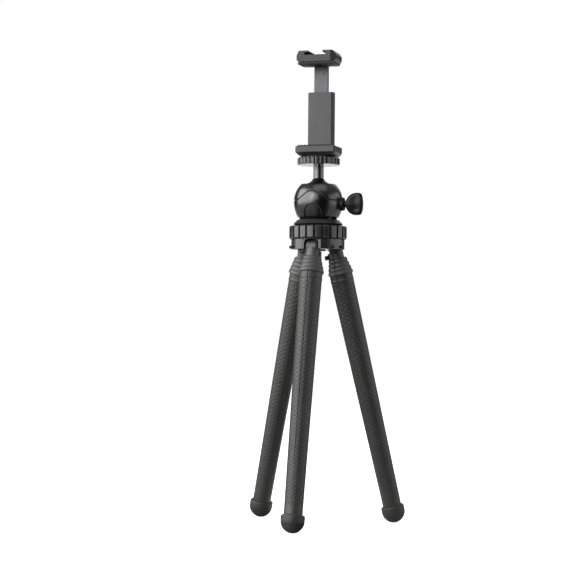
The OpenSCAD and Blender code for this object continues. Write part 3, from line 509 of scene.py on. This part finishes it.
# %% Depth of the groove at each grid point
def groove_depth(unrolled_rows):
    x = (angles * first_radius)[None, :]
    y = unrolled_rows[:, None]
    wide, high = 6 * half_side, row_height
    nearest = None
    for shift in (0.0, 0.5):
        dx = np.abs((x / wide - shift + 0.5) % 1 - 0.5) * wide
        dy = np.abs((y / high - shift + 0.5) % 1 - 0.5) * high
        reach = np.maximum(dy, dx * math.sqrt(3) / 2 + dy / 2)
        nearest = reach if nearest is None else np.minimum(nearest, reach)
    edge = np.clip((high / 2 - nearest) / GROOVE_WIDTH, 0, 1)
    crown = 0.00005 * (nearest / (high / 2)) ** 2
    return GROOVE_DEPTH * (1 - edge * edge * (3 - 2 * edge)) + crown


# %% [markdown]
# ## Sleeve surface
# From the top, the sleeve is a plug inside the socket, a plain band, a small moulded lip, the
# scales, and a plain band that ends at the foot. The mould closes along two lines, outside and
# inside the leg. Each half is a little flatter than a half circle, so they meet in a soft corner
# with a thin ridge on it, and light changes sharply there.

# %% Rows of the whole sleeve
PLUG_RADIUS, FOOT_PLUG_RADIUS, BORE_RADIUS = 0.00835, 0.0073, 0.0031
LIP_TOP, LIP_HEIGHT, MOULD_OVAL = 0.0275, 0.0003, 0.03
RIDGE_RISE, RIDGE_SIDE_DIP, RIDGE_WEAR_FROM, RIDGE_LEFT_AT_FOOT = 0.00030, 0.00020, 0.12, 0.3
band_top = np.array([0.0231, 0.0240, 0.0252, 0.0264, LIP_TOP - 0.0002, LIP_TOP + 0.0002, LIP_TOP + 0.0006,
                     LIP_TOP + 0.0010, LIP_TOP + 0.0013, LIP_TOP + 0.0018])
band_end = np.linspace(scale_along[-1] + 0.0006, SLEEVE_END, 6)
along_rows = np.concatenate([[0.0168, 0.0230], band_top, scale_along, band_end, [SLEEVE_END, LEG_LENGTH + 0.0018]])
base_radius = sleeve_radius(along_rows)
base_radius[:2] = PLUG_RADIUS
base_radius[-2:] = FOOT_PLUG_RADIUS
lip = np.clip(1 - np.abs(along_rows - LIP_TOP - 0.0006) / 0.0007, 0, 1)
radius_grid = np.repeat((base_radius + LIP_HEIGHT * np.minimum(1, lip * 2))[:, None], AROUND, axis=1)
first_scale = 2 + len(band_top)
last_scale = first_scale + len(scale_along)
fade = np.clip(np.minimum(unrolled, unrolled[-1] - unrolled) / 0.0012, 0, 1)[:, None]
thinner = (sleeve_radius(scale_along) / first_radius)[:, None]
grooves = groove_depth(unrolled) * fade
radius_grid[first_scale:last_scale] -= grooves * thinner
groove_grid = np.zeros_like(radius_grid)
groove_grid[first_scale:last_scale] = np.clip(grooves / GROOVE_DEPTH, 0, 1)
radius_grid[2:-2] *= 1 - MOULD_OVAL * np.abs(np.sin(angles))
worn = np.interp(along_rows[2:-2], [0.0, RIDGE_WEAR_FROM, SLEEVE_END], [1.0, 1.0, RIDGE_LEFT_AT_FOOT])
for ridge in (0, AROUND // 2):
    radius_grid[2:-2, ridge] += RIDGE_RISE * worn
    radius_grid[2:-2, [ridge - 1, ridge + 1]] -= RIDGE_SIDE_DIP * worn[:, None]
print("sleeve grid", radius_grid.shape)

# %% [markdown]
# ## Sleeves in three lengths
# A real sleeve bends anywhere. The CAD model bends it at three places, so the sleeve is made in
# three lengths, each with one bend in its middle. The lengths meet between two rows of scales.
# Each length is closed with a bore for the core, so it is a true solid.


# %% One closed length of sleeve
def add_piece(name, points, faces, finish, sharp=35):
    mesh = bpy.data.meshes.new(name)
    mesh.from_pydata([tuple(point) for point in points], [], faces)
    solid = bmesh.new()
    solid.from_mesh(mesh)
    bmesh.ops.recalc_face_normals(solid, faces=solid.faces)
    solid.to_mesh(mesh)
    solid.free()
    mesh.shade_smooth()
    mesh.set_sharp_from_angle(angle=math.radians(sharp))
    mesh.materials.append(finish)
    piece = bpy.data.objects.new(name, mesh)
    scene.collection.objects.link(piece)
    return piece


def tube_faces(rows, around):
    """Faces of a closed tube whose rings follow each other, and meet again at the last one."""
    here = np.arange(rows * around).reshape(rows, around)
    below, beside = np.roll(here, -1, axis=0), np.roll(here, -1, axis=1)
    corner = np.roll(below, -1, axis=1)
    return np.stack([here, below, corner, beside], axis=-1).reshape(-1, 4).tolist()


def leg_tube(name, leg, along, radii, bore, finish, sharp):
    inner = along[::-6] if len(along) > 12 else along[::-1]
    inner = np.unique(np.concatenate([inner, along[[0, -1]]]))[::-1]
    rings = [leg_points(leg, np.full(AROUND, s), r, angles) for s, r in zip(along, radii)]
    rings += [leg_points(leg, np.full(AROUND, s), np.full(AROUND, bore), angles) for s in inner]
    return add_piece(name, np.concatenate(rings), tube_faces(len(rings), AROUND), finish, sharp)


# %% Three lengths for each leg
meeting = [first_scale + POINTS_PER_ROW * round((np.interp(s, scale_along, unrolled)) / row_height)
           for s in (0.095, 0.145)]
spans = [(0, meeting[0]), (meeting[0], meeting[1]), (meeting[1], len(along_rows) - 1)]
covers = (("sleeve_1", "flex_1"), ("sleeve_2", "flex_2"), ("sleeve_3", "flex_3", "sleeve_4"))
for leg in LEGS:
    for n, (first, last) in enumerate(spans):
        rows = slice(first, last + 1)
        sleeve = leg_tube(f"{leg}_scaled_sleeve_{n + 1}", leg, along_rows[rows], radius_grid[rows], BORE_RADIUS,
                          sleeve_rubber, 60)
        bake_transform(sleeve)
        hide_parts(*[f"{leg}_{cover}" for cover in covers[n]])
        depth = np.zeros(len(sleeve.data.vertices))
        depth[:groove_grid[rows].size] = groove_grid[rows].ravel()
        sleeve.data.attributes.new("groove", "FLOAT", "POINT").data.foreach_set("value", depth)
print("lengths meet at", [round(along_rows[row] * 1000, 1) for row in meeting], "mm")

# %% [markdown]
# ## Core of each leg
# Inside the sleeve runs a soft aluminium wire that keeps the bend. It can't be seen at rest. It is
# made in the same three lengths as the sleeve.


# %% Core in three lengths
CORE_RADIUS, CORE_POINTS = 0.003, 24
CORE_TOP, CORE_END = 0.0105, LEG_LENGTH - 0.0010


def leg_rod(name, leg, along, radius, finish):
    turns = np.arange(CORE_POINTS) * 2 * math.pi / CORE_POINTS
    rings = [leg_points(leg, np.full(CORE_POINTS, s), np.full(CORE_POINTS, radius), turns) for s in along]
    faces = tube_faces(len(rings), CORE_POINTS)[:-CORE_POINTS]
    last = (len(rings) - 1) * CORE_POINTS
    faces += [list(range(CORE_POINTS)), list(range(last, last + CORE_POINTS))]
    return add_piece(name, np.concatenate(rings), faces, finish)


core_ends = [CORE_TOP, along_rows[meeting[0]], along_rows[meeting[1]], CORE_END]
for leg in LEGS:
    for n in range(3):
        core = leg_rod(f"{leg}_core_length_{n + 1}", leg, np.linspace(core_ends[n], core_ends[n + 1], 40),
                       CORE_RADIUS, core_wire)
        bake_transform(core)
        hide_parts(leg + "_core")
print("core lengths end at", [round(end * 1000, 1) for end in core_ends])

# %% [markdown]
# ## Turned pieces
# Feet and washers are round about one axis. In Blender a Screw modifier can turn an outline into a
# solid. Here the outline is turned in code, so that points on the axis become one point and the
# solid has no doubled faces.


# %% Turning helper
def turned_piece(name, outline, place, finish, around=96, sharp=35, floor_cut=False):
    points, rings = [], []
    for radius, height in outline:
        count = 1 if radius < 1e-9 else around
        spin = [2 * math.pi * k / around for k in range(count)]
        rings.append(list(range(len(points), len(points) + count)))
        points += [place @ Vector((radius * math.cos(a), radius * math.sin(a), height)) for a in spin]
    faces = []
    for one, two in zip(rings, rings[1:] + rings[:1]):
        for k in range(around):
            corners = [one[k % len(one)], one[(k + 1) % len(one)], two[(k + 1) % len(two)], two[k % len(two)]]
            corners = list(dict.fromkeys(corners))
            if len(corners) > 2:
                faces.append(corners)
    if floor_cut:
        points = [Vector((point.x, point.y, max(point.z, 0.0))) for point in points]
    return add_piece(name, points, faces, finish, sharp)


def arc(centre, radius, start, stop, steps):
    """Points of an arc in the outline: angles in degrees, zero along the radius, ninety along the axis."""
    turns = [math.radians(start + (stop - start) * k / steps) for k in range(steps + 1)]
    return [(centre[0] + radius * math.cos(a), centre[1] + radius * math.sin(a)) for a in turns]


# %% [markdown]
# ## Feet
# Each foot is a rubber cap pushed over the end of the leg: a straight rim with a soft edge over a
# dome, and shallow rings under the dome that grip the floor. It stands on a small flat, so points
# below the floor are moved up to it.

# %% Rubber feet
GRIP_DEPTH, GRIP_RINGS = 0.00022, (34, 46, 58)


def foot_outline():
    rim = LEG_LENGTH - FOOT_RIM
    outline = [(0.0, LEG_LENGTH + 0.003), (FOOT_PLUG_RADIUS, LEG_LENGTH + 0.003), (FOOT_PLUG_RADIUS, rim)]
    outline += arc((FOOT_RADIUS - 0.0016, rim + 0.0016), 0.0016, -90, 0, 8)
    for degrees in range(0, 91, 2):
        dip = GRIP_DEPTH if any(abs(degrees - ring) <= 1 for ring in GRIP_RINGS) else 0.0
        reach, lean = FOOT_RADIUS - dip, math.radians(degrees)
        outline.append((reach * math.cos(lean), LEG_LENGTH + reach * math.sin(lean)))
    outline[-1] = (0.0, LEG_LENGTH + FOOT_RADIUS)
    return outline


for leg in LEGS:
    pin, down, outward, across = leg_line(leg)
    place = Matrix.Translation(pin) @ Matrix((outward, across, down)).transposed().to_4x4()
    foot = turned_piece(leg + "_rubber_foot", foot_outline(), place, foot_rubber, floor_cut=True)
    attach(foot, leg + "_tip")
    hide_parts(leg + "_foot")
print("feet with", len(GRIP_RINGS), "grip rings")

# %% [markdown]
# ## Wing knob
# The locking knob is a thumb wing: a round neck that widens into a flat blade with a dished face on
# each side and a rounded end. A box with a subdivision modifier could be pulled into this form. Here
# it is lofted from rounded sections, because each section can be checked against the CAD outline.

# %% Loft the wing knob
KNOB_SECTIONS = [  # distance from the neck, half height, half thickness, squareness, all in mm
    (0.0, 3.7, 3.9, 2.0), (0.3, 4.3, 4.1, 2.0), (0.8, 5.1, 4.14, 2.1), (1.5, 6.1, 4.1, 2.3), (2.3, 7.0, 4.0, 2.5),
    (3.3, 7.8, 3.9, 2.7), (4.5, 8.5, 3.8, 2.9), (6.0, 9.05, 3.6, 3.1), (7.8, 9.35, 3.4, 3.4), (9.6, 9.4, 3.25, 3.6),
    (11.4, 9.38, 3.1, 3.6), (12.6, 9.25, 2.9, 3.6), (13.3, 9.0, 2.7, 3.5), (13.7, 8.7, 2.45, 3.4),
    (13.9, 8.35, 2.15, 3.2), (14.0, 7.9, 1.8, 3.0),
]
KNOB_POINTS = 64
low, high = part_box("lock_knob")
knob_middle = (low.z + high.z) / 2
knob_points = []
for reach, tall, thick, square in KNOB_SECTIONS:
    for k in range(KNOB_POINTS):
        a = 2 * math.pi * k / KNOB_POINTS
        up = tall * math.copysign(abs(math.cos(a)) ** (2 / square), math.cos(a))
        side = thick * math.copysign(abs(math.sin(a)) ** (2 / square), math.sin(a))
        dish = math.exp(-((reach - 8.2) / 3.2) ** 2 - ((abs(up) - 4.2) / 3.0) ** 2)
        bow = min(1.0, max(0.0, (reach - 5.0) / 8.0)) * up * up / 64.0
        knob_points.append((low.x + (reach - bow) / 1000, side * (1 - 0.26 * dish) / 1000, knob_middle + up / 1000))
knob_faces = tube_faces(len(KNOB_SECTIONS), KNOB_POINTS)[:-KNOB_POINTS]
end_ring = (len(KNOB_SECTIONS) - 1) * KNOB_POINTS
knob_faces += [list(range(KNOB_POINTS)), list(range(end_ring, end_ring + KNOB_POINTS))]
knob = add_piece("wing_knob", knob_points, knob_faces, knob_nylon, 50)
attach(knob, "knob")
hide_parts("lock_knob")
print("wing knob from x", round(low.x * 1000, 1), "to", round(high.x * 1000, 1), "mm")

# %% [markdown]
# ## Ribbed jaw pads
# Both jaws carry a thin rubber pad with ribs that run front to back. Each rib has a round back, so
# light catches a fine line on it. The section of a pad is drawn once and drawn out along its depth,
# with the ends a little lower, as rubber leaves its mould.

# %% Make both pads
RIB_PITCH, RIB_COUNT = 0.0025, 12
RIB_SHAPE = [(-0.80, 0.0), (-0.72, 0.45), (-0.52, 0.82), (-0.25, 0.97), (0.0, 1.0), (0.25, 0.97), (0.52, 0.82),
             (0.72, 0.45), (0.80, 0.0)]


def ribbed_pad(name, cad_node, ribs_up, body):
    low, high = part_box(cad_node)
    base, rise = (low.z, 1) if ribs_up else (high.z, -1)
    thick = high.z - low.z
    section = [(low.x, 0.0), (low.x, 0.40 * thick), (low.x + 0.0002, 0.5 * thick)]
    for k in range(RIB_COUNT):
        middle = (k - (RIB_COUNT - 1) / 2) * RIB_PITCH
        section += [(middle + x / 1000, (0.5 + 0.5 * y) * thick) for x, y in RIB_SHAPE]
    section += [(high.x - 0.0002, 0.5 * thick), (high.x, 0.40 * thick), (high.x, 0.0)]
    depths = [(low.y, 0.78), (low.y + 0.0001, 0.90), (low.y + 0.0004, 1.0), (high.y - 0.0004, 1.0), (high.y, 0.85)]
    points = [(x, y, base + rise * z * share) for y, share in depths for x, z in section]
    faces = tube_faces(len(depths), len(section))[:-len(section)]
    last = (len(depths) - 1) * len(section)
    faces += [list(range(len(section))), list(range(last, last + len(section)))]
    pad = add_piece(name, points, faces, jaw_rubber, 40)
    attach(pad, body)
    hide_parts(cad_node)


ribbed_pad("lower_ribbed_pad", "lower_pad", True, "clamp")
ribbed_pad("upper_ribbed_pad", "upper_pad", False, "upper_clamp")
print("pads with", RIB_COUNT, "ribs")

# %% [markdown]
# ## Washer on the lock wheel
# A soft washer sits between the lock wheel and the jaw so that they grip. Its edges are round.

# %% Soft washer
low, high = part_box("wheel_pad")
washer_radius, washer_bore, washer_edge = high.x, 0.003475, 0.00022
washer = [(washer_bore, low.z)]
washer += arc((washer_radius - washer_edge, low.z + washer_edge), washer_edge, -90, 0, 4)
washer += arc((washer_radius - washer_edge, high.z - washer_edge), washer_edge, 0, 90, 4)
washer += [(washer_bore, high.z)]
wheel_washer = turned_piece("wheel_washer", washer, Matrix.Identity(4), foot_rubber)
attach(wheel_washer, "wheel")
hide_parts("wheel_pad")
print("washer radius", round(washer_radius * 1000, 1), "mm")
